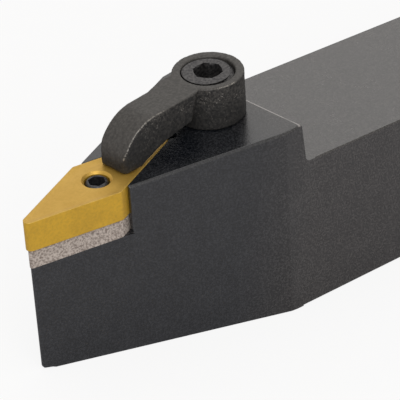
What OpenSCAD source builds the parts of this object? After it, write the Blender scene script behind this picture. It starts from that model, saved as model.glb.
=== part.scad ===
// Square shank turning toolholder for a rhombic profiling insert.
// Row frame: +X runs back along the shank, +Z up, and Y = 0 is the plane of symmetry.
// The origin lies under the middle of the overall length, on the bottom face.
// Seat frame: its origin is the sharp theoretical tip on the insert's top face, +X runs
// back along the insert's long diagonal, and +Z stands square to that face.

/* [Shank] */
// Overall length, from the insert's nose to the rear end
overall_l = 152.4; // [120:0.1:200]
// Width of the shank
shank_w = 25.4; // [22:0.1:32]
// Height of the shank
shank_h = 25.4; // [23:0.1:28]
// Height of the cutting tip above the bottom face
tip_h = 25.4; // [24:0.1:30]
// Chamfer on the long edges of the shank
shank_edge = 0.2; // [0.1:0.05:0.8]
// Chamfer round the rear end of the shank
rear_edge = 1.0; // [0.2:0.1:3]

/* [Head] */
// Angle by which the seat rises towards the rear
seat_tilt = 8.6; // [4:0.1:11]
// How far the head's side faces lie inside the insert's flanks
flank_inset = 0.42; // [0.2:0.01:0.8]
// Radius along the upright nose of the head
head_nose_r = 0.7; // [0.3:0.1:1.5]
// Radius under the nose, where it meets the bottom face
head_toe_r = 1.6; // [0.5:0.1:4]
// Radius along the top edges of the head
head_edge_r = 0.6; // [0.2:0.1:1]
// Radius where the head's side faces run into the shank's
bend_r = 3.0; // [1:0.5:8]
// Distance from the clamp screw's axis back to the end of the head's top face
head_back = 6.1; // [5.8:0.1:9]
// Angle by which the head's end face leans away from upright
head_back_lean = 14.5; // [8:0.5:30]
// Radius at the top of the head's end face
head_back_r = 0.8; // [0.3:0.1:2]
// Fillet at the foot of the head's end face
head_foot_r = 1.0; // [0.4:0.1:3]
// Distance from the insert's side corners back to the start of the pocket walls
wall_start = 1.7; // [1.3:0.1:3]
// Radius on the upright outer edge at the start of each pocket wall
wall_end_r = 0.35; // [0.1:0.05:0.5]
// Gap between the pocket walls and the insert
pocket_gap = 0.03; // [0.01:0.01:0.1]
// Radius of the relief drilled at the back of the pocket
relief_r = 0.9; // [0.5:0.1:1.5]

/* [Insert] */
// Angle at the cutting corners
insert_angle = 35; // [33:1:40]
// Diameter of the inscribed circle
insert_ic = 9.525; // [9:0.005:10.5]
// Thickness
insert_t = 4.7625; // [4:0.0125:6.5]
// Radius of the corners
insert_nose_r = 0.8; // [0.4:0.1:1]
// Diameter of the hole
insert_hole_d = 3.81; // [3.7:0.01:4.4]
// Width of the countersink round the hole
insert_sink = 0.35; // [0.2:0.05:0.6]
// Width of the land along the edges
land_w = 0.3; // [0.15:0.05:0.6]
// Width of the chip groove behind the land
groove_w = 1.3; // [0.8:0.1:1.8]
// Depth of the chip groove
groove_d = 0.14; // [0.05:0.01:0.25]

/* [Shim] */
// Thickness
shim_t = 3.175; // [2.5:0.005:4]
// How far the shim lies inside the insert's flanks
shim_inset = 0.35; // [0.2:0.01:0.6]

/* [Lock pin] */
// Diameter of the head inside the insert
pin_head_d = 3.35; // [3:0.01:3.6]
// Depth of the head below the insert's top face
pin_sunk = 0.25; // [0.1:0.05:0.6]
// Diameter of the collar that holds the shim down
pin_collar_d = 5.8; // [5:0.1:6.4]
// Thickness of the collar
pin_collar_t = 1.2; // [0.8:0.1:1.8]
// Diameter of the threaded shank
pin_shank_d = 4.16; // [3.5:0.01:4.6]
// Length of the shank below the pocket floor
pin_shank_l = 8.5; // [6:0.1:11]
// Width across flats of the hex socket
pin_hex = 2.0; // [1.5:0.05:2.2]
// Depth of the hex socket
pin_hex_l = 2.2; // [1.5:0.1:3.5]

/* [Clamp] */
// Distance from the insert's rear corner back to the clamp screw's axis
screw_back = 7.38; // [6.5:0.01:12]
// Height of the clamp above the insert's top face
clamp_h = 7.1; // [6.4:0.1:9]
// Diameter of the hub
hub_d = 10.6; // [10:0.1:11]
// Distance from the middle of the insert's hole back to the finger's tip
finger_clear = 2.95; // [2.5:0.05:4]
// Width of the finger near its tip
finger_w = 5.3; // [4.4:0.1:6]
// Width of the finger at its root
root_w = 5.9; // [5.5:0.1:7]
// How much further the shoulder on the far side of the root reaches out
shoulder_w = 0.45; // [0:0.05:0.8]
// Radius of the finger's two front corners, seen from above
finger_corner_r = 1.3; // [0.8:0.1:2.1]
// Radius of the finger's back as it falls to the tip
finger_fall_r = 6.8; // [5:0.1:7.5]
// Radius under the finger's tip
finger_toe_r = 0.7; // [0.2:0.1:1.2]
// Length of the foot that presses on the insert
foot_l = 3.4; // [2.4:0.1:4.5]
// Height of the arch under the finger at its root
arch_h = 2.75; // [1.5:0.05:3.2]
// Radius of the hollow between finger and hub on the near side, at the top
waist_r = 1.6; // [1:0.1:2]
// How deep this hollow cuts into the finger at the top
waist_cut = 0.25; // [0.1:0.05:0.5]
// Draft of this hollow, which grows downward
waist_draft = 12; // [4:1:15]
// Diameter of the spigot that guides the clamp in the head
spigot_d = 9.6; // [9.2:0.05:9.8]
// Length of the spigot below the head's top face
spigot_l = 4.5; // [3.5:0.1:6]

/* [Clamp screw] */
// Diameter of the upper thread, in the clamp
screw_top_d = 7.94; // [7:0.01:8.2]
// Diameter of the lower thread, in the head
screw_low_d = 6.35; // [5:0.01:6.6]
// Length of the lower thread
screw_low_l = 10.5; // [7:0.1:12]
// Width across flats of the hex socket
screw_hex = 3.97; // [3:0.01:4.6]
// Depth of the hex socket
screw_hex_l = 4.2; // [3:0.1:6]
// Chamfer round the top of the screw and the mouth of its hole in the hub
screw_edge = 0.2; // [0.1:0.05:0.5]

/* [Fits] */
// Radial clearance of each thread and spigot in its hole
run_fit = 0.05; // [0.02:0.01:0.09]
// Gap between a moving part's flat faces and the fixed ones next to them
face_gap = 0.1; // [0.05:0.01:0.2]
// Space left between the end of a moving part and the bottom of its hole
end_space = 1.0; // [0.3:0.1:2]

/* [Hidden] */

$fn = 96;
over = 1; // how far a cutting shape sticks out past the face that it cuts
skin = 0.01; // how far a rounding cutter stands off, so that it meets the faces at an angle

// Places along the seat, measured from the sharp tip
half = insert_angle / 2;
hole_a = insert_ic / 2 / sin(half);
rear_a = 2 * hole_a;
screw_a = rear_a + screw_back;
head_end_a = screw_a + head_back;
head_tip_a = flank_inset / sin(half);
bend_a = head_tip_a + shank_w / 2 / tan(half);
wall_a = hole_a + wall_start;
finger_a = hole_a + finger_clear;

// Heights above the insert's top face
shim_top = -insert_t;
floor_h = shim_top - shim_t;
collar_top = shim_top - face_gap;
collar_low = collar_top - pin_collar_t;
pin_end = floor_h - pin_shank_l;
spigot_end = -spigot_l;
low_thread_top = spigot_end - 2 * end_space;
screw_end = low_thread_top - screw_low_l;

// How far the rounded corner of the insert lies behind its sharp tip
nose_back = insert_nose_r / sin(half) - insert_nose_r;
tip_x = -overall_l / 2 - nose_back * cos(seat_tilt);
far_l = 1.5 * overall_l;

// Place in the side view of a point given along the seat and above it
function on_seat(a, h) = [tip_x + a * cos(seat_tilt) - h * sin(seat_tilt),
                          tip_h + a * sin(seat_tilt) + h * cos(seat_tilt)];
function unit(v) = v / norm(v);
function across(a, apex_a) = (a - apex_a) * tan(half);

// Puts children that are drawn in the seat frame where the seat is
module seat() {
    translate([tip_x, 0, tip_h]) rotate([0, -seat_tilt, 0]) children();
}

// Solid turned about an axis square to the seat, from the half profile [radius, height]
module turned(a, profile) {
    translate([a, 0, 0]) rotate_extrude() polygon(profile);
}

// Round post on the seat's long diagonal, between two heights
module post(a, d, low, high) {
    turned(a, [[0, low], [d / 2, low], [d / 2, high], [0, high]]);
}

// Blind hole from a height down, with the cone that a drill leaves
module drilled(a, d, low, high) {
    turned(a, [[0, low - d / 2 * tan(30)], [d / 2, low], [d / 2, high], [0, high]]);
}

// Hex socket, open at the top, with the cone that its drill leaves
module hex_socket(a, flats, depth, top) {
    translate([a, 0, top - depth]) cylinder(d = flats / cos(30), h = depth + over, $fn = 6);
    drilled(a, flats, top - depth, top - depth / 2);
}

// What lies between a corner and the arc that rounds it, with some spill behind the
// corner, so that it cuts or joins cleanly. u and v point along the corner's two sides.
module corner(p, u, v, r) {
    turn = acos(u * v);
    reach = r / tan(turn / 2);
    centre = p + unit(u + v) * r / sin(turn / 2);
    difference() {
        polygon([p - unit(u + v) * over, p + u * reach, centre, p + v * reach]);
        translate(centre) circle(r);
    }
}

// Outline of the insert, moved in and with its corners rounded
module rhombus(inset, r) {
    c = insert_ic / 2 - inset - r;
    side = r * [sin(half), cos(half)];
    front = [c / sin(half), 0] + side;
    flank = [0, c / cos(half)] + side;
    translate([hole_a, 0]) {
        polygon([front, flank, [-flank[0], flank[1]], [-front[0], front[1]],
                 -front, -flank, [flank[0], -flank[1]], [front[0], -front[1]]]);
        for (s = [-1, 1]) {
            translate([s * c / sin(half), 0]) circle(r);
            translate([0, s * c / cos(half)]) circle(r);
        }
    }
}

// Wedge between the head's two side faces, with its rounded nose, as tall as needed
module head_wedge() {
    edge = far_l * [cos(half), sin(half)];
    touch = head_nose_r * [-sin(half), cos(half)];
    translate([head_tip_a + head_nose_r / sin(half), 0, -far_l / 2]) {
        linear_extrude(far_l)
            polygon([touch, touch + edge, [touch[0] + edge[0], -touch[1] - edge[1]],
                     [touch[0], -touch[1]]]);
        cylinder(r = head_nose_r, h = far_l);
    }
}

// Shank and head as seen from the side, right across the shank's width
module body_block() {
    end = on_seat(head_end_a, 0);
    lean = [sin(head_back_lean), -cos(head_back_lean)];
    foot = end + lean * (end[1] - shank_h) / cos(head_back_lean);
    nose_a = head_tip_a + head_nose_r / sin(half) - head_nose_r - skin;
    toe = [tip_x + nose_a / cos(seat_tilt) + tip_h * tan(seat_tilt), -skin];
    rear_x = overall_l / 2;
    rotate([90, 0, 0]) {
        linear_extrude(shank_w, center = true) difference() {
            polygon([[tip_x, 0], [rear_x, 0], [rear_x, shank_h], foot, end, on_seat(0, 0)]);
            corner(end + [skin, skin], -[cos(seat_tilt), sin(seat_tilt)], lean, head_back_r);
            corner(toe, [-sin(seat_tilt), cos(seat_tilt)], [1, 0], head_toe_r);
        }
        linear_extrude(shank_w, center = true) corner(foot, -lean, [1, 0], head_foot_r);
    }
}

// Cutter that rounds an edge lying along X: the part is at y > 0 and z < 0
module edge_rounder(l, r) {
    rotate([90, 0, 90]) linear_extrude(l) corner([-skin, skin], [1, 0], [0, -1], r);
}

// Cutter that chamfers an edge lying along X: the part is at y > 0 and z < 0
module edge_breaker(l, c) {
    rotate([90, 0, 90]) linear_extrude(l)
        polygon([[c + over, over], [-over, over], [-over, -c - over]]);
}

// Pocket for the shim and the insert, open to the front and to both sides
module pocket() {
    apex = rear_a + pocket_gap / sin(half);
    wall_y = -across(wall_a, apex);
    side_y = across(wall_a, head_tip_a);
    translate([0, 0, floor_h]) linear_extrude(far_l) {
        polygon([[apex, 0], [wall_a, wall_y], [wall_a, shank_w], [-shank_w, shank_w],
                 [-shank_w, -shank_w], [wall_a, -shank_w], [wall_a, -wall_y]]);
        translate([rear_a - relief_r, 0]) circle(relief_r);
        for (s = [-1, 1])
            corner([wall_a, s * side_y], [0, -s], [cos(half), s * sin(half)], wall_end_r);
    }
}

module holder_body() {
    lap = head_edge_r / sin(half) + over;
    run = (bend_a - head_tip_a) / cos(half) + lap;
    rear_x = overall_l / 2;
    color([0.28, 0.28, 0.29]) difference() {
        intersection() {
            body_block();
            seat() head_wedge();
        }
        seat() {
            pocket();
            drilled(hole_a, pin_shank_d + 2 * run_fit, pin_end - end_space, floor_h + over);
            post(screw_a, spigot_d + 2 * run_fit, spigot_end - end_space, over);
            drilled(screw_a, screw_low_d + 2 * run_fit, screw_end - end_space, 0);
            for (s = [0, 1]) mirror([0, s, 0]) {
                translate([head_tip_a, 0, 0]) rotate(-half) edge_rounder(run, head_edge_r);
                translate([bend_a - lap, -shank_w / 2, 0]) edge_rounder(far_l / 4, head_edge_r);
                translate([0, 0, -far_l / 2]) linear_extrude(far_l)
                    corner([bend_a, -shank_w / 2 - skin / 2], [1, 0], [-cos(half), sin(half)], bend_r);
            }
        }
        for (side = [0, 1], low = [0, 1]) mirror([0, side, 0]) translate([0, 0, shank_h / 2])
            mirror([0, 0, low]) {
                translate([on_seat(bend_a, 0)[0] + head_back + over, -shank_w / 2, shank_h / 2])
                    edge_breaker(overall_l, shank_edge);
                translate([rear_x, -shank_w, shank_h / 2]) rotate(90)
                    edge_breaker(2 * shank_w, rear_edge);
                translate([rear_x, -shank_w / 2, -shank_h]) rotate([0, -90, 180])
                    edge_breaker(2 * shank_h, rear_edge);
            }
    }
}

module shim() {
    color([0.72, 0.69, 0.67]) seat() difference() {
        translate([0, 0, floor_h]) linear_extrude(shim_t) rhombus(shim_inset, insert_nose_r);
        post(hole_a, pin_shank_d + 2 * run_fit, floor_h - over, shim_top);
        post(hole_a, pin_collar_d + 2 * face_gap, collar_low - face_gap, shim_top + over);
    }
}

// One quarter of the chip groove: a shallow valley along one edge, up to the diagonals
module groove_quarter() {
    strip = [[land_w, over], [land_w, 0], [land_w + groove_w / 2, -groove_d],
             [land_w + groove_w, 0], [land_w + groove_w, over]];
    intersection() {
        rotate(half) rotate([90, 0, 90]) linear_extrude(rear_a) mirror([1, 0]) polygon(strip);
        translate([0, 0, -over]) cube([hole_a, hole_a, 2 * over]);
        translate([0, 0, -over]) linear_extrude(2 * over)
            rhombus(land_w, insert_nose_r - land_w / 2);
    }
}

module insert() {
    sink_r = insert_hole_d / 2;
    color([0.80, 0.64, 0.28]) seat() difference() {
        translate([0, 0, -insert_t]) linear_extrude(insert_t) rhombus(0, insert_nose_r);
        post(hole_a, insert_hole_d, -insert_t - over, over);
        for (f = [0, 1]) translate([0, 0, -f * insert_t]) mirror([0, 0, f]) {
            turned(hole_a, [[0, -insert_sink], [sink_r, -insert_sink],
                            [sink_r + 2 * insert_sink, insert_sink], [0, insert_sink]]);
            translate([hole_a, 0, 0]) for (m = [0, 1], n = [0, 1])
                mirror([m, 0, 0]) mirror([0, n, 0]) translate([-hole_a, 0, 0])
                    groove_quarter();
        }
    }
}

module lock_pin() {
    top = -pin_sunk;
    head = pin_head_d / 2;
    collar = pin_collar_d / 2;
    shank = pin_shank_d / 2;
    lead = end_space / 2; // chamfer at the end of a thread
    rim = head / 8;
    color([0.30, 0.30, 0.33]) seat() difference() {
        turned(hole_a, [[0, pin_end], [shank - lead, pin_end], [shank, pin_end + lead],
                        [shank, collar_low], [collar, collar_low], [collar, collar_top],
                        [head, collar_top], [head, top - rim], [head - rim, top], [0, top]]);
        hex_socket(hole_a, pin_hex, pin_hex_l, top);
    }
}

// Side view of the finger: its back falls in an arc to the tip, and an arch rises behind
// the foot to the root
module finger_side() {
    fall_r = min(finger_fall_r, clamp_h - 2 * face_gap);
    fall_a = finger_a + fall_r;
    arch_a = screw_a - hub_d / 2;
    rise = arch_h - face_gap;
    run = arch_a - finger_a - foot_l;
    arch_r = (run * run + rise * rise) / (2 * rise);
    difference() {
        intersection() {
            translate([finger_a, face_gap]) square([screw_a - finger_a, clamp_h - face_gap]);
            union() {
                translate([fall_a, 0]) square([screw_a - fall_a, clamp_h]);
                translate([fall_a, clamp_h - fall_r]) circle(fall_r);
            }
        }
        intersection() {
            translate([arch_a, arch_h - arch_r]) circle(arch_r);
            translate([finger_a + foot_l, 0]) square([run + over, arch_h]);
        }
        translate([arch_a, 0]) square([hub_d, arch_h]);
        corner([finger_a, face_gap], [0, 1], [1, 0], finger_toe_r);
    }
}

// The finger seen square to the seat: rounded tip, widening sides and a far shoulder
module finger_plan() {
    r = finger_corner_r;
    side = finger_w / 2;
    root = root_w / 2;
    wide_a = screw_a - hub_d / 2 - root / 2;
    start_a = wide_a - root;
    polygon([[finger_a, side - r], [finger_a + r, side], [start_a, side],
             [wide_a, root + shoulder_w], [screw_a, root + shoulder_w], [screw_a, -root],
             [wide_a, -root], [finger_a + r, -side], [finger_a, r - side]]);
    for (s = [-1, 1])
        translate([finger_a + r, s * (side - r)]) circle(r);
}

// Hollow on the near side between finger and hub, wider toward the bottom as cast
module waist() {
    low_r = waist_r + clamp_h * tan(waist_draft);
    translate([0, waist_cut - root_w / 2 - waist_r, 0])
        turned(screw_a - hub_d / 2 + waist_r / 2, [[0, -over], [low_r, -over], [low_r, 0],
               [waist_r, clamp_h], [waist_r, clamp_h + over], [0, clamp_h + over]]);
}

module clamp() {
    mouth_r = screw_top_d / 2;
    color([0.40, 0.38, 0.36]) seat() difference() {
        union() {
            post(screw_a, hub_d, face_gap, clamp_h);
            post(screw_a, spigot_d, spigot_end, face_gap + over);
            difference() {
                intersection() {
                    rotate([90, 0, 0]) linear_extrude(2 * hub_d, center = true) finger_side();
                    linear_extrude(clamp_h) finger_plan();
                }
                waist();
            }
        }
        post(screw_a, screw_top_d + 2 * run_fit, spigot_end - over, clamp_h + over);
        turned(screw_a, [[0, clamp_h - screw_edge], [mouth_r, clamp_h - screw_edge],
                         [mouth_r + 2 * screw_edge, clamp_h + screw_edge],
                         [0, clamp_h + screw_edge]]);
    }
}

module clamp_screw() {
    top = screw_top_d / 2;
    low = screw_low_d / 2;
    lead = end_space / 2; // chamfer at the end of a thread, and the depth of the neck
    neck = low - lead;
    color([0.42, 0.42, 0.45]) seat() difference() {
        turned(screw_a, [[0, screw_end], [low - lead, screw_end], [low, screw_end + lead],
                         [low, low_thread_top], [neck, low_thread_top], [neck, spigot_end],
                         [top, spigot_end], [top, clamp_h - screw_edge],
                         [top - screw_edge, clamp_h], [0, clamp_h]]);
        hex_socket(screw_a, screw_hex, screw_hex_l, clamp_h);
    }
}

holder_body();
shim();
insert();
lock_pin();
clamp();
clamp_screw();
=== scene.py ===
from math import cos, pi, radians, sin

import bmesh
import bpy
from mathutils import Matrix, Quaternion, Vector, kdtree, noise


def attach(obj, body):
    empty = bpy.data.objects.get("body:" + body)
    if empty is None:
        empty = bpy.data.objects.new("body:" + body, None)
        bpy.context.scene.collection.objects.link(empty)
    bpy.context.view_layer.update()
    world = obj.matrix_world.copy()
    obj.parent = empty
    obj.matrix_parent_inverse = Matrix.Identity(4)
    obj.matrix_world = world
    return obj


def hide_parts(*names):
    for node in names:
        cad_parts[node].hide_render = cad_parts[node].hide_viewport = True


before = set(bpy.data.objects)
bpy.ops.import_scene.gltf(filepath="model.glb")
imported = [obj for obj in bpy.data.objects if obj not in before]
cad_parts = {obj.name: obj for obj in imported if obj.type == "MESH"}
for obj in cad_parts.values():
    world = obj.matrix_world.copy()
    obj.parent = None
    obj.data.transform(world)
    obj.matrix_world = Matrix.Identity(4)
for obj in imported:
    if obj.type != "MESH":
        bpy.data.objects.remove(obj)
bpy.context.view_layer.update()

# Where the picture is taken from
# The camera looks down on the head from in front and from the near side, through a long lens,
# and is turned a little, as in the photograph.
aim = Vector((-0.046407, -0.005406, 0.021114))
distance = 0.37738
heading, elevation, roll = radians(42.756), radians(28.121), radians(3.262)

scene = bpy.context.scene
scene.view_settings.view_transform = "Standard"
looking = Vector((cos(heading) * cos(elevation), sin(heading) * cos(elevation), -sin(elevation)))
camera = bpy.data.objects.new("camera", bpy.data.cameras.new("camera"))
camera.data.lens = 232.76
camera.data.sensor_width = 36
camera.data.clip_start = 0.01
camera.rotation_mode = "QUATERNION"
camera.rotation_quaternion = looking.to_track_quat("-Z", "Y") @ Quaternion((0, 0, 1), roll)
camera.location = aim - distance * looking
scene.collection.objects.link(camera)
scene.camera = camera


# The room
# A white table, white walls all round, and two soft lamps. The stronger one hangs on the
# camera's side of the head, and the larger one behind the shank's far side.
class Shade:
    """One socket of a material's nodes. Sums and products of sockets add their Math nodes."""

    def __init__(self, tree, socket=None):
        self.tree, self.socket = tree, socket

    def node(self, kind, settings={}, inputs={}, output=0):
        made = self.tree.nodes.new(kind)
        for name, value in settings.items():
            setattr(made, name, value)
        for name, value in inputs.items():
            if isinstance(value, Shade):
                self.tree.links.new(value.socket, made.inputs[name])
            else:
                made.inputs[name].default_value = value
        return Shade(self.tree, made.outputs[output] if made.outputs else None)

    def maths(self, operation, *values):
        return self.node("ShaderNodeMath", {"operation": operation}, dict(enumerate(values)))

    def __add__(self, other):
        return self.maths("ADD", self, other)

    def __sub__(self, other):
        return self.maths("SUBTRACT", self, other)

    def __mul__(self, other):
        return self.maths("MULTIPLY", self, other)

    def __rsub__(self, other):
        return self.maths("SUBTRACT", other, self)

    __radd__ = __add__
    __rmul__ = __mul__

    def fade(self, low, high):
        """0 below low and 1 above high, or the other way round where low is the larger."""
        return self.node("ShaderNodeMapRange", {"interpolation_type": "SMOOTHSTEP"},
                         {"Value": self, "From Min": low, "From Max": high})

    def blend(self, a, b):
        """Colour a where this is 0, and b where it is 1."""
        a, b = (c if isinstance(c, Shade) else (*c, 1) for c in (a, b))
        return self.node("ShaderNodeMix", {"data_type": "RGBA"}, {0: self, 6: a, 7: b}, 2)


def colour(red, green, blue):
    """A colour as it is read off a screen, from 0 to 255, in the shader's own scale."""
    return tuple((c / 255 / 12.92 if c < 10 else ((c / 255 + 0.055) / 1.055) ** 2.4)
                 for c in (red, green, blue))


def finish(name, **sockets):
    """A new material, its first Shade, and the function that links its changing sockets."""
    material = bpy.data.materials.new(name)
    material.use_nodes = True
    shader = material.node_tree.nodes["Principled BSDF"]
    for socket, value in sockets.items():
        shader.inputs[socket.replace("_", " ")].default_value = value

    def link(**changing):
        for socket, value in changing.items():
            material.node_tree.links.new(value.socket, shader.inputs[socket.replace("_", " ")])

    return material, Shade(material.node_tree), link


world = bpy.data.worlds.new("white_room")
world.use_nodes = True
world.node_tree.nodes.clear()
room = Shade(world.node_tree)
seen = room.node("ShaderNodeLightPath", output="Is Camera Ray")
height = room.node("ShaderNodeSeparateXYZ", inputs={
    0: room.node("ShaderNodeTexCoord", output="Generated")}, output="Z")
walls = room.node("ShaderNodeBackground", inputs={
    "Color": height.fade(-0.1, 0.4).blend((0.50, 0.50, 0.52), (0.56, 0.54, 0.52))})
backdrop = room.node("ShaderNodeBackground", inputs={"Color": (1, 1, 1, 1)})
mixed = room.node("ShaderNodeMixShader", inputs={0: seen, 1: walls, 2: backdrop})
room.node("ShaderNodeOutputWorld", inputs={"Surface": mixed})
scene.world = world


def lamp(name, place, size, power):
    """A soft square lamp that points at the head."""
    light = bpy.data.lights.new(name, "AREA")
    light.shape, light.size, light.energy = "SQUARE", size, power
    piece = bpy.data.objects.new(name, light)
    piece.location = place
    piece.rotation_mode = "QUATERNION"
    piece.rotation_quaternion = (aim - Vector(place)).to_track_quat("-Z", "Y")
    scene.collection.objects.link(piece)


lamp("lamp_far", (0.34, 0.24, 0.42), 0.60, 0.45)
lamp("lamp_near", (-0.35, -0.35, 0.40), 0.45, 1.35)

floor_mesh = bmesh.new()
bmesh.ops.create_grid(floor_mesh, x_segments=1, y_segments=1, size=3)
floor = bpy.data.objects.new("floor", bpy.data.meshes.new("floor"))
floor_mesh.to_mesh(floor.data)
floor_mesh.free()
scene.collection.objects.link(floor)
paper, start, link = finish("paper", Roughness=0.9)
seen = start.node("ShaderNodeLightPath", output="Is Camera Ray")
pulp = start.node("ShaderNodeTexNoise", inputs={"Scale": 900.0}).fade(0.2, 0.8)
link(Base_Color=seen.blend(pulp.blend((0.50, 0.50, 0.52), (0.53, 0.53, 0.55)),
                           pulp.blend((0.93, 0.93, 0.93), (0.95, 0.95, 0.95))))
glow = start.node("ShaderNodeEmission", inputs={"Color": (1, 1, 1, 1), "Strength": 1.0})
surface = start.node("ShaderNodeMixShader", inputs={
    0: seen * 0.86, 1: Shade(paper.node_tree, paper.node_tree.nodes["Principled BSDF"].outputs[0]),
    2: glow})
paper.node_tree.links.new(surface.socket, paper.node_tree.nodes["Material Output"].inputs[0])
floor.data.materials.append(paper)


# holder_body
# Shank and head, milled from one bar of alloy steel, then blackened in a hot salt bath. The
# black is fine grained. The head is painted a darker, bluer black than the shank, as painted
# shade, and a painted highlight runs along the end of the head's top.
tilt, half_corner = radians(8.6), radians(17.5)
# What is drawn round an upright clamp screw goes to its place by this, and back by its inverse.
upright = Matrix.Translation((-0.0394231, 0, 0.0312402)) @ Matrix.Rotation(-tilt, 4, "Y")
flat_way = upright.inverted()


def left_sharp(e):
    """The rim of the relief hole behind the insert, and the small ends of the shank's chamfers."""
    relief, hole, chamfers = Vector((-0.00828, 0)), 0.00105, -0.02973
    return (all(((flat_way @ v.co).xy - relief).length < hole for v in e.verts)
            or any(abs(v.co.x - chamfers) < 0.0003 for v in e.verts))


def joined_copy(node, gap):
    """A copy of a CAD node's mesh with its loose triangles joined."""
    mesh = bmesh.new()
    mesh.from_mesh(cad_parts[node].data)
    bmesh.ops.remove_doubles(mesh, verts=mesh.verts, dist=gap)
    return mesh


def round_off(mesh, edges, width):
    """Rounds sharp edges."""
    bmesh.ops.bevel(mesh, geom=edges, offset=width, offset_type="OFFSET", segments=3,
                    profile=0.5, affect="EDGES", material=-1, clamp_overlap=False)


def smooth_copy(node, name, edge, body, material, turn=30, shape=None):
    """The CAD node's solid with its sharp edges broken by a small round and its curved faces
    smooth. It stands for the node."""
    mesh = joined_copy(node, 1.5e-5 if edge else 1e-6)
    bmesh.ops.dissolve_limit(mesh, angle_limit=radians(0.4), verts=mesh.verts, edges=mesh.edges)
    if shape:
        shape(mesh)
    if edge:
        sharp = [e for e in mesh.edges if e.is_manifold
                 and e.calc_face_angle() > radians(turn) and not left_sharp(e)]
        round_off(mesh, sharp, edge)
    for face in mesh.faces:
        face.smooth = True
    for e in mesh.edges:
        e.smooth = not e.is_manifold or e.calc_face_angle() < radians(38)
    piece = bpy.data.objects.new(name, bpy.data.meshes.new(name))
    mesh.to_mesh(piece.data)
    mesh.free()
    scene.collection.objects.link(piece)
    even = piece.modifiers.new("flat_faces", "WEIGHTED_NORMAL")
    even.keep_sharp = True
    even.weight = 100
    piece.data.materials.append(material)
    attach(piece, body)
    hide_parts(node)


def sharpen_nose(mesh, corner, radius, share):
    """Shrinks the radius of an upright nose to a share of it. Its flanks meet at the corner."""
    margin, foot = 0.00002, 0.003
    for v in mesh.verts:
        at = flat_way @ v.co
        if at.x - corner < radius * cos(half_corner) ** 2 / sin(half_corner) + margin:
            height = v.co.z
            at.x, at.y = corner + (at.x - corner) * share, at.y * share
            v.co = upright @ at
            if height < foot:
                v.co += (height - v.co.z) / cos(tilt) * upright.col[2].to_3d()


def square_end(mesh):
    """The shank's rear end, cut off and made again with a chamfer all round it."""
    cut_at, chamfer_at, end_at, chamfer = 0.0735, 0.0752, 0.0762, 0.0010
    half_width, shank_height = 0.0127, 0.0254
    everything = mesh.verts[:] + mesh.edges[:] + mesh.faces[:]
    cut = bmesh.ops.bisect_plane(mesh, geom=everything, plane_co=(cut_at, 0, 0),
                                 plane_no=(1, 0, 0), clear_outer=True)["geom_cut"]
    for to in (chamfer_at, end_at):
        rim = [g for g in cut if isinstance(g, bmesh.types.BMEdge)]
        cut = bmesh.ops.extrude_edge_only(mesh, edges=rim)["geom"]
        for v in cut:
            if isinstance(v, bmesh.types.BMVert):
                v.co.x = to
    for v in cut:
        if isinstance(v, bmesh.types.BMVert):
            v.co.y = max(chamfer - half_width, min(v.co.y, half_width - chamfer))
            v.co.z = max(chamfer, min(v.co.z, shank_height - chamfer))
    bmesh.ops.contextual_create(mesh, geom=[g for g in cut if isinstance(g, bmesh.types.BMEdge)])
    bmesh.ops.remove_doubles(mesh, verts=mesh.verts, dist=1e-5)


def true_holder(mesh):
    """The head's nose as narrow as in the photograph, and the rear end with its chamfers."""
    head_corner, head_nose_r = -0.037659, 0.0007
    sharpen_nose(mesh, head_corner, head_nose_r, 0.5)
    square_end(mesh)


blackened, start, link = finish("blackened_steel", IOR=1.85, Roughness=0.3)
place = start.node("ShaderNodeTexCoord", output="Object")
grain = start.node("ShaderNodeTexNoise", inputs={"Vector": place, "Scale": 3400.0, "Detail": 3.0})
cloud = start.node("ShaderNodeTexNoise", inputs={"Vector": place, "Scale": 240.0, "Detail": 4.0})
along = start.node("ShaderNodeSeparateXYZ", inputs={0: place}, output="X")
# Painted shade: the head is given a darker, bluer black than the shank.
shank = along.fade(-0.044, -0.028)
steel = (grain.fade(0.42, 0.64) * 0.8 + cloud.fade(0.35, 0.8) * 0.2).blend(
    shank.blend((0.0020, 0.0032, 0.0055), (0.0100, 0.0080, 0.0075)),
    shank.blend((0.0260, 0.0280, 0.0330), (0.0700, 0.0640, 0.0610)))
height = start.node("ShaderNodeSeparateXYZ", inputs={0: place}, output="Z")
# Painted highlight: a thin light line along the rounded end of the head's top.
from_painted_highlight = along + 0.0338
painted_highlight_line = from_painted_highlight.maths("ABSOLUTE", from_painted_highlight).fade(0.00028, 0.00008) * height.fade(0.03172, 0.03190)
steel = (painted_highlight_line * cloud.fade(0.25, 0.5)).blend(steel, (0.36, 0.335, 0.32))
link(Base_Color=steel, Roughness=cloud * 0.08 + grain * 0.12 + 0.14,
     Normal=start.node("ShaderNodeBump", inputs={"Strength": 0.5, "Distance": 0.00003,
                                                 "Height": grain}))
smooth_copy("holder_body", "holder", 0.00012, "holder", blackened, turn=50,
            shape=true_holder)


# shim
# The hard seat under the insert: sintered carbide, ground on its two faces and left as
# sintered round its edge, where it is pale and grainy. The lock pin's collar holds it down.
carbide, start, link = finish("shim_carbide", Metallic=0.0, Roughness=0.6)
place = start.node("ShaderNodeTexCoord", output="Object")
speck = start.node("ShaderNodeTexNoise", inputs={"Vector": place, "Scale": 3200.0, "Detail": 2.0})
fine = start.node("ShaderNodeTexNoise", inputs={"Vector": place, "Scale": 9000.0})
link(Base_Color=(speck * 0.7 + fine * 0.3).fade(0.36, 0.60).blend(
         colour(138, 125, 116), colour(206, 194, 184)),
     Normal=start.node("ShaderNodeBump", inputs={"Strength": 0.4, "Distance": 0.00004,
                                                 "Height": speck}))
shim_corner, shim_nose_r = -0.037892, 0.0008
smooth_copy("shim", "shim_plate", 0.00006, "holder", carbide,
            shape=lambda mesh: sharpen_nose(mesh, shim_corner, shim_nose_r, 0.5))
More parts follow.
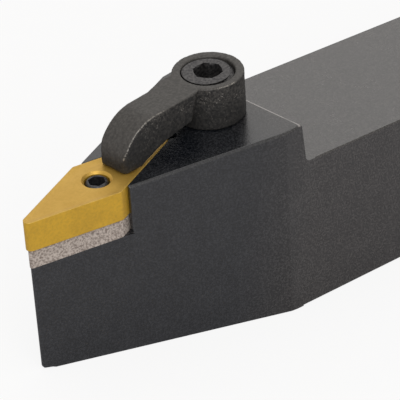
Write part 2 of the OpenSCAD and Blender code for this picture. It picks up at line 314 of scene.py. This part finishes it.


# insert
# The cutting piece: pressed and sintered carbide, ground on its flanks, then coated gold. A
# narrow land runs along its edges, with a chip groove behind it. Its edges are painted a
# lighter gold as a highlight, and its flanks a brighter gold than its top, as painted light.
gold, start, link = finish("gold_coating", Metallic=0.6, Roughness=0.42)
place = start.node("ShaderNodeTexCoord", output="Object")
grain = start.node("ShaderNodeTexNoise", inputs={"Vector": place, "Scale": 2400.0, "Detail": 3.0})
cloud = start.node("ShaderNodeTexNoise", inputs={"Vector": place, "Scale": 320.0, "Detail": 3.0})
up = start.node("ShaderNodeSeparateXYZ", inputs={
    0: start.node("ShaderNodeTexCoord", output="Normal")}, output="Z")
# Painted highlight: the edges found by the Bevel node are painted a lighter gold.
soft = start.node("ShaderNodeBevel", {"samples": 6}, {"Radius": 0.00010})
edge = 1 - start.node("ShaderNodeVectorMath", {"operation": "DOT_PRODUCT"}, {
    0: soft, 1: start.node("ShaderNodeNewGeometry", output="Normal")}, "Value")
# Painted light: faces turned sideways, found by the normal's Z, get a brighter, more saturated
# gold than the top.
coat_and_painted_light = up.fade(0.3, 0.7).blend((0.95, 0.575, 0.062), (0.72, 0.450, 0.095))
link(Base_Color=(grain.fade(0.3, 0.75) * 0.3 + cloud.fade(0.35, 0.7) * 0.25).blend(
         edge.fade(0.02, 0.12).blend(coat_and_painted_light, (1.0, 0.72, 0.20)), (0.56, 0.33, 0.050)),
     Roughness=cloud * 0.15 + 0.34,
     Normal=start.node("ShaderNodeBump", inputs={"Strength": 0.2, "Distance": 0.00003,
                                                 "Height": grain, "Normal": soft}))
smooth_copy("insert", "insert_rhombus", 0, "holder", gold)


# lock_pin
# Holds the insert and the shim: screwed into the head, with its round head in the insert's
# hole and a hex socket in its top. Turned steel, hardened and darkened.
pin_steel, start, link = finish("pin_steel", Metallic=0.8)
place = start.node("ShaderNodeTexCoord", output="Object")
grain = start.node("ShaderNodeTexNoise", inputs={"Vector": place, "Scale": 2800.0, "Detail": 3.0})
link(Base_Color=grain.fade(0.3, 0.75).blend((0.055, 0.055, 0.062), (0.125, 0.123, 0.130)),
     Roughness=grain * 0.25 + 0.25)


def widen_socket(mesh):
    """The socket has opened a little with use."""
    pin_axis, round_socket, wider = Vector((-0.023218, 0)), 0.0013, 1.15
    for v in mesh.verts:
        at = flat_way @ v.co
        if (at.xy - pin_axis).length < round_socket:
            at.xy = pin_axis + (at.xy - pin_axis) * wider
            v.co = upright @ at


smooth_copy("lock_pin", "pin", 0.00005, "pin", pin_steel, shape=widen_socket)


# clamp
# One casting, a hub with a finger that presses on the insert behind its hole. Its top has been
# ground, and its sides are as cast: rough, with bright flecks and a thin flash along the
# upper edges. It is blackened like the holder, and greyer.
rough = joined_copy("clamp", 1.5e-5)
bmesh.ops.transform(rough, matrix=flat_way, verts=rough.verts)
rims = []
for e in rough.edges:
    if e.is_manifold and e.calc_face_angle() > radians(40):
        ends = [v.co for v in e.verts]
        sides = sorted(f.normal.z for f in e.link_faces)
        middle = (ends[0] + ends[1]) / 2
        if sides[0] < 0.3 < sides[1] and middle.xy.length > 0.0045 and middle.z > 0.0002:
            count = int(e.calc_length() / 0.0001) + 2
            rims += [ends[0].lerp(ends[1], i / (count - 1)) for i in range(count)]
clamp = bpy.data.objects.new("clamp_casting", bpy.data.meshes.new("clamp_casting"))
rough.to_mesh(clamp.data)
rough.free()
scene.collection.objects.link(clamp)
even = clamp.modifiers.new("even_mesh", "REMESH")
even.mode, even.voxel_size, even.use_smooth_shade = "VOXEL", 0.00015, True
clamp.data = bpy.data.meshes.new_from_object(clamp.evaluated_get(
    bpy.context.evaluated_depsgraph_get()))
clamp.modifiers.clear()

near_rim = kdtree.KDTree(len(rims))
for i, point in enumerate(rims):
    near_rim.insert(point, i)
near_rim.balance()
casting = bmesh.new()
casting.from_mesh(clamp.data)
for _ in range(2):
    bmesh.ops.smooth_vert(casting, verts=casting.verts, factor=0.5,
                          use_axis_x=True, use_axis_y=True, use_axis_z=True)
casting.normal_update()
as_cast = casting.verts.layers.float.new("as_cast")
flash = casting.verts.layers.float.new("flash")
moves = []
for v in casting.verts:
    steep = min(max((0.42 - v.normal.z) / 0.25, 0), 1)
    outside = min(max((v.co.xy.length - 0.0049) / 0.0002, 0), 1) * (v.co.z > 0.00015)
    rim = max(0, 1 - near_rim.find(v.co)[2] / 0.00035)
    lumps = noise.fractal(v.co * 1400, 0.9, 2.1, 3)
    v[as_cast] = steep * outside
    bare = min(max((-0.0105 - v.co.x) / 0.0015, 0), 1) * (v.co.y < 0)
    bare = max(bare, min(max((0.0018 - abs(v.co.x + 0.0012)) / 0.0004, 0), 1) * (v.co.y < -0.003))
    v[flash] = rim * (0.15 + 0.85 * bare)
    up = (0.000045 * lumps + 0.00002) * v[as_cast]
    up += 0.00005 * rim * (0.6 + 0.5 * noise.noise(v.co * 2500)) * outside
    moves.append(v.normal * up)
for v, move in zip(casting.verts, moves):
    v.co += move
bmesh.ops.transform(casting, matrix=upright, verts=casting.verts)
for face in casting.faces:
    face.smooth = True
casting.to_mesh(clamp.data)
casting.free()

cast, start, link = finish("cast_steel", Metallic=0.35, IOR=1.6)
place = start.node("ShaderNodeTexCoord", output="Object")
side = start.node("ShaderNodeAttribute", {"attribute_name": "as_cast"}, output="Fac")
rim = start.node("ShaderNodeAttribute", {"attribute_name": "flash"}, output="Fac")
grain = start.node("ShaderNodeTexNoise", inputs={"Vector": place, "Scale": 2600.0, "Detail": 4.0})
fleck = start.node("ShaderNodeTexNoise", inputs={"Vector": place, "Scale": 4200.0, "Detail": 2.0})
cloud = start.node("ShaderNodeTexNoise", inputs={"Vector": place, "Scale": 500.0, "Detail": 2.0})
# Painted shade: the as-cast sides and their flecks grow darker towards the bottom of the casting.
low = start.node("ShaderNodeSeparateXYZ", inputs={0: place}, output="Z").fade(0.0325, 0.0375)
ground = grain.fade(0.3, 0.75).blend((0.058, 0.055, 0.051), (0.105, 0.099, 0.092))
skin_and_painted_shade = (grain.fade(0.35, 0.7) * (low * 0.6 + 0.4)).blend(
    (0.018, 0.018, 0.018), (0.080, 0.074, 0.067))
bright = fleck.fade(0.56, 0.74) * side * (low * 0.8 + 0.2) * (
    cloud.fade(0.45, 0.62) * 0.75 + 0.15)
bright = bright.maths("MAXIMUM", bright, rim.fade(0.35, 0.9) * fleck.fade(0.40, 0.60) * 0.8)
link(Base_Color=bright.blend(side.blend(ground, skin_and_painted_shade), (0.42, 0.39, 0.35)),
     Roughness=0.52 - bright * 0.18 + side * 0.08,
     Normal=start.node("ShaderNodeBump", inputs={
         "Strength": 0.6, "Distance": 0.00006, "Height": grain * (side * 0.85 + 0.15)}))
clamp.data.materials.clear()
clamp.data.materials.append(cast)
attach(clamp, "clamp_arm")
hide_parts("clamp")


# clamp_screw
# A headless screw with a hex socket. Its upper thread runs in the clamp's hub and its lower
# one in the head, so that it draws the clamp down. Turned steel, dark from heat treatment.
def rings(mesh, height):
    """The open or loose edges that lie at one height."""
    return [e for e in mesh.edges if not e.is_manifold
            and all(abs(v.co.z - height) < 1e-6 for v in e.verts)]


def thread(mesh, crest, depth, pitch, low, high, phase):
    """A single thread about Z: one turn of its outline swept up the axis, cut off at both ends."""
    steps, turns = 48, int((high - low) / pitch) + 4
    outline = [(crest, 0), (crest, pitch / 8), (crest - depth, pitch * 7 / 16),
               (crest - depth, pitch * 11 / 16), (crest, pitch)]
    line = [mesh.verts.new((r, 0, low - 2 * pitch + z)) for r, z in outline]
    sides = [mesh.edges.new(pair) for pair in zip(line, line[1:])]
    old = set(mesh.verts) - set(line)
    bmesh.ops.spin(mesh, geom=line + sides, axis=(0, 0, 1), angle=2 * pi * turns,
                   steps=steps * turns, dvec=(0, 0, pitch / steps))
    new = [v for v in mesh.verts if v not in old]
    bmesh.ops.rotate(mesh, verts=new, matrix=Matrix.Rotation(phase, 3, "Z"))
    bmesh.ops.remove_doubles(mesh, verts=new, dist=1e-6)
    for height, outer, inner in ((high, True, False), (low, False, True)):
        new = [v for v in mesh.verts if v not in old]
        part = new + [e for e in mesh.edges if e.verts[0] not in old] + [
            f for f in mesh.faces if f.verts[0] not in old]
        bmesh.ops.bisect_plane(mesh, geom=part, plane_co=(0, 0, height), plane_no=(0, 0, 1),
                               clear_outer=outer, clear_inner=inner)


def ring(mesh, radius, height, sides=48, turn=0):
    """A loose circle of edges about Z."""
    made = bmesh.ops.create_circle(mesh, segments=sides, radius=radius, matrix=(
        Matrix.Translation((0, 0, height)) @ Matrix.Rotation(turn, 4, "Z")))
    return list(dict.fromkeys(e for v in made["verts"] for e in v.link_edges))


def fill(mesh, edges):
    """A flat face inside a loop of edges, or between two such loops."""
    bmesh.ops.triangle_fill(mesh, use_beauty=True, edges=edges)


top, spigot, low_top, end = 0.0071, -0.0045, -0.0065, -0.0170
flats, mouth_r, countersink, socket_deep, neck_r = 0.00397, 0.00211, 0.0002, 0.0044, 0.0026
turned = bmesh.new()
thread(turned, 0.00390, 0.00062, 0.001058, spigot, top, radians(-134))
thread(turned, 0.00312, 0.00046, 0.000907, end, low_top, 0)
hexed = ring(turned, flats / 2 / cos(pi / 6), top - countersink, 6, radians(30))
bmesh.ops.subdivide_edges(turned, edges=hexed, cuts=5)
hexed = rings(turned, top - countersink)
up = bmesh.ops.extrude_edge_only(turned, edges=hexed)["geom"]
for v in up:
    if isinstance(v, bmesh.types.BMVert):
        v.co = (v.co.xy.normalized() * max(v.co.xy.length, mouth_r)).to_3d() + Vector((0, 0, top))
fill(turned, rings(turned, top))
down = bmesh.ops.extrude_edge_only(turned, edges=hexed)["geom"]
bmesh.ops.translate(turned, verts=[g for g in down if isinstance(g, bmesh.types.BMVert)],
                    vec=(0, 0, countersink - socket_deep))
fill(turned, rings(turned, top - socket_deep))
for thread_end in (spigot, low_top):
    ring(turned, neck_r, thread_end)
    fill(turned, rings(turned, thread_end))
bmesh.ops.bridge_loops(turned, edges=rings(turned, spigot) + rings(turned, low_top))
fill(turned, rings(turned, end))
bmesh.ops.remove_doubles(turned, verts=turned.verts, dist=1e-7)
bmesh.ops.recalc_face_normals(turned, faces=turned.faces)
for face in turned.faces:
    face.smooth = True
for e in turned.edges:
    e.smooth = e.is_manifold and e.calc_face_angle() < radians(25)
bmesh.ops.transform(turned, matrix=upright, verts=turned.verts)
screw = bpy.data.objects.new("screw", bpy.data.meshes.new("screw"))
turned.to_mesh(screw.data)
turned.free()
scene.collection.objects.link(screw)

screw_steel, start, link = finish("screw_steel", Metallic=0.8)
place = start.node("ShaderNodeTexCoord", output="Object")
grain = start.node("ShaderNodeTexNoise", inputs={"Vector": place, "Scale": 2800.0, "Detail": 3.0})
link(Base_Color=grain.fade(0.3, 0.75).blend((0.046, 0.045, 0.047), (0.150, 0.145, 0.144)),
     Roughness=grain * 0.25 + 0.30,
     Normal=start.node("ShaderNodeBump", inputs={"Strength": 0.4, "Distance": 0.00003,
                                                 "Height": grain}))
screw.data.materials.append(screw_steel)
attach(screw, "screw")
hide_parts("clamp_screw")
